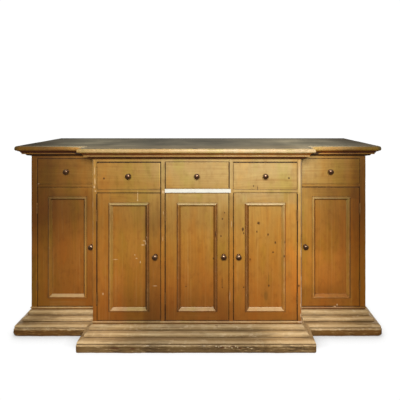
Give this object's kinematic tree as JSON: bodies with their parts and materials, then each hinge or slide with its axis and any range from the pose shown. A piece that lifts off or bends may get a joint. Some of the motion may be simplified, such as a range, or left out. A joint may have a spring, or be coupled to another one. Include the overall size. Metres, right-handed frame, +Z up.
{
  "type": "low sideboard",
  "caption": "Low breakfront sideboard in waxed pine with inset drawers over panelled doors, a moulded cornice, a painted top and a stepped plinth.",
  "frame": {"origin": "on the floor under the centre of the overall box", "axes": "+X along the length to the right seen from the front, +Y to the back, +Z up; the doors face -Y"},
  "size_m": [2.048, 0.578, 1.05],
  "materials": {
    "waxed_pine": "waxed old pine, honey to orange brown",
    "worn_plinth_pine": "scuffed pine, wax worn away on the steps",
    "raw_pine": "unfinished pine, darkened with age",
    "painted_top": "worn matt grey-green paint",
    "off_white_paint": "off-white satin paint",
    "knob_bronze": "darkened bronze with a worn sheen",
    "dark_metal": "dark oiled steel"
  },
  "bodies": {
    "carcass": {"top_boards": "painted_top", "top_nosing": "waxed_pine", "cornice_moulding": "waxed_pine", "bed_moulding": "waxed_pine", "end_panels": "waxed_pine", "partitions": "waxed_pine", "front_stiles": "waxed_pine", "front_rails": "waxed_pine", "centre_rail": "off_white_paint", "floor_boards": "raw_pine", "shelves": "raw_pine", "shelf_cleats": "raw_pine", "back_boards": "raw_pine", "drawer_runners": "raw_pine", "base_bead": "waxed_pine", "plinth_base": "worn_plinth_pine", "plinth_steps": "worn_plinth_pine", "plinth_bearers": "raw_pine", "hinge_fixed_leaves": "dark_metal", "door_catches": "dark_metal"},
    "drawer_1": {"drawer_1_front": "waxed_pine", "drawer_1_box": "raw_pine", "drawer_1_knob": "knob_bronze"},
    "door_1": {"door_1_frame": "waxed_pine", "door_1_panel": "waxed_pine", "door_1_moulding": "waxed_pine", "door_1_knob": "knob_bronze", "door_1_hinges": "dark_metal"},
    "drawer_2": {"drawer_2_front": "waxed_pine", "drawer_2_box": "raw_pine", "drawer_2_knob": "knob_bronze"},
    "door_2": {"door_2_frame": "waxed_pine", "door_2_panel": "waxed_pine", "door_2_moulding": "waxed_pine", "door_2_knob": "knob_bronze", "door_2_hinges": "dark_metal"},
    "drawer_3": {"drawer_3_front": "waxed_pine", "drawer_3_box": "raw_pine", "drawer_3_knob": "knob_bronze"},
    "door_3": {"door_3_frame": "waxed_pine", "door_3_panel": "waxed_pine", "door_3_moulding": "waxed_pine", "door_3_knob": "knob_bronze", "door_3_hinges": "dark_metal"},
    "drawer_4": {"drawer_4_front": "waxed_pine", "drawer_4_box": "raw_pine", "drawer_4_knob": "knob_bronze"},
    "door_4": {"door_4_frame": "waxed_pine", "door_4_panel": "waxed_pine", "door_4_moulding": "waxed_pine", "door_4_knob": "knob_bronze", "door_4_hinges": "dark_metal"},
    "drawer_5": {"drawer_5_front": "waxed_pine", "drawer_5_box": "raw_pine", "drawer_5_knob": "knob_bronze"},
    "door_5": {"door_5_frame": "waxed_pine", "door_5_panel": "waxed_pine", "door_5_moulding": "waxed_pine", "door_5_knob": "knob_bronze", "door_5_hinges": "dark_metal"}
  },
  "joints": [
    {"name": "drawer_1_slide", "type": "slide", "parent": "carcass", "child": "drawer_1", "axis": [0, -1, 0], "range_m": [0, 0.25]},
    {"name": "drawer_2_slide", "type": "slide", "parent": "carcass", "child": "drawer_2", "axis": [0, -1, 0], "range_m": [0, 0.34]},
    {"name": "drawer_3_slide", "type": "slide", "parent": "carcass", "child": "drawer_3", "axis": [0, -1, 0], "range_m": [0, 0.34]},
    {"name": "drawer_4_slide", "type": "slide", "parent": "carcass", "child": "drawer_4", "axis": [0, -1, 0], "range_m": [0, 0.34]},
    {"name": "drawer_5_slide", "type": "slide", "parent": "carcass", "child": "drawer_5", "axis": [0, -1, 0], "range_m": [0, 0.25]},
    {"name": "door_1_hinge", "type": "hinge", "parent": "carcass", "child": "door_1", "pos_m": [-0.92788, -0.118, 0.4635], "axis": [0, 0, -1], "range_deg": [0, 110]},
    {"name": "door_2_hinge", "type": "hinge", "parent": "carcass", "child": "door_2", "pos_m": [-0.53687, -0.23, 0.4635], "axis": [0, 0, -1], "range_deg": [0, 110]},
    {"name": "door_3_hinge", "type": "hinge", "parent": "carcass", "child": "door_3", "pos_m": [-0.17087, -0.23, 0.4635], "axis": [0, 0, -1], "range_deg": [0, 110]},
    {"name": "door_4_hinge", "type": "hinge", "parent": "carcass", "child": "door_4", "pos_m": [0.53687, -0.23, 0.4635], "axis": [0, 0, 1], "range_deg": [0, 110]},
    {"name": "door_5_hinge", "type": "hinge", "parent": "carcass", "child": "door_5", "pos_m": [0.92788, -0.118, 0.4635], "axis": [0, 0, 1], "range_deg": [0, 110]}
  ]
}
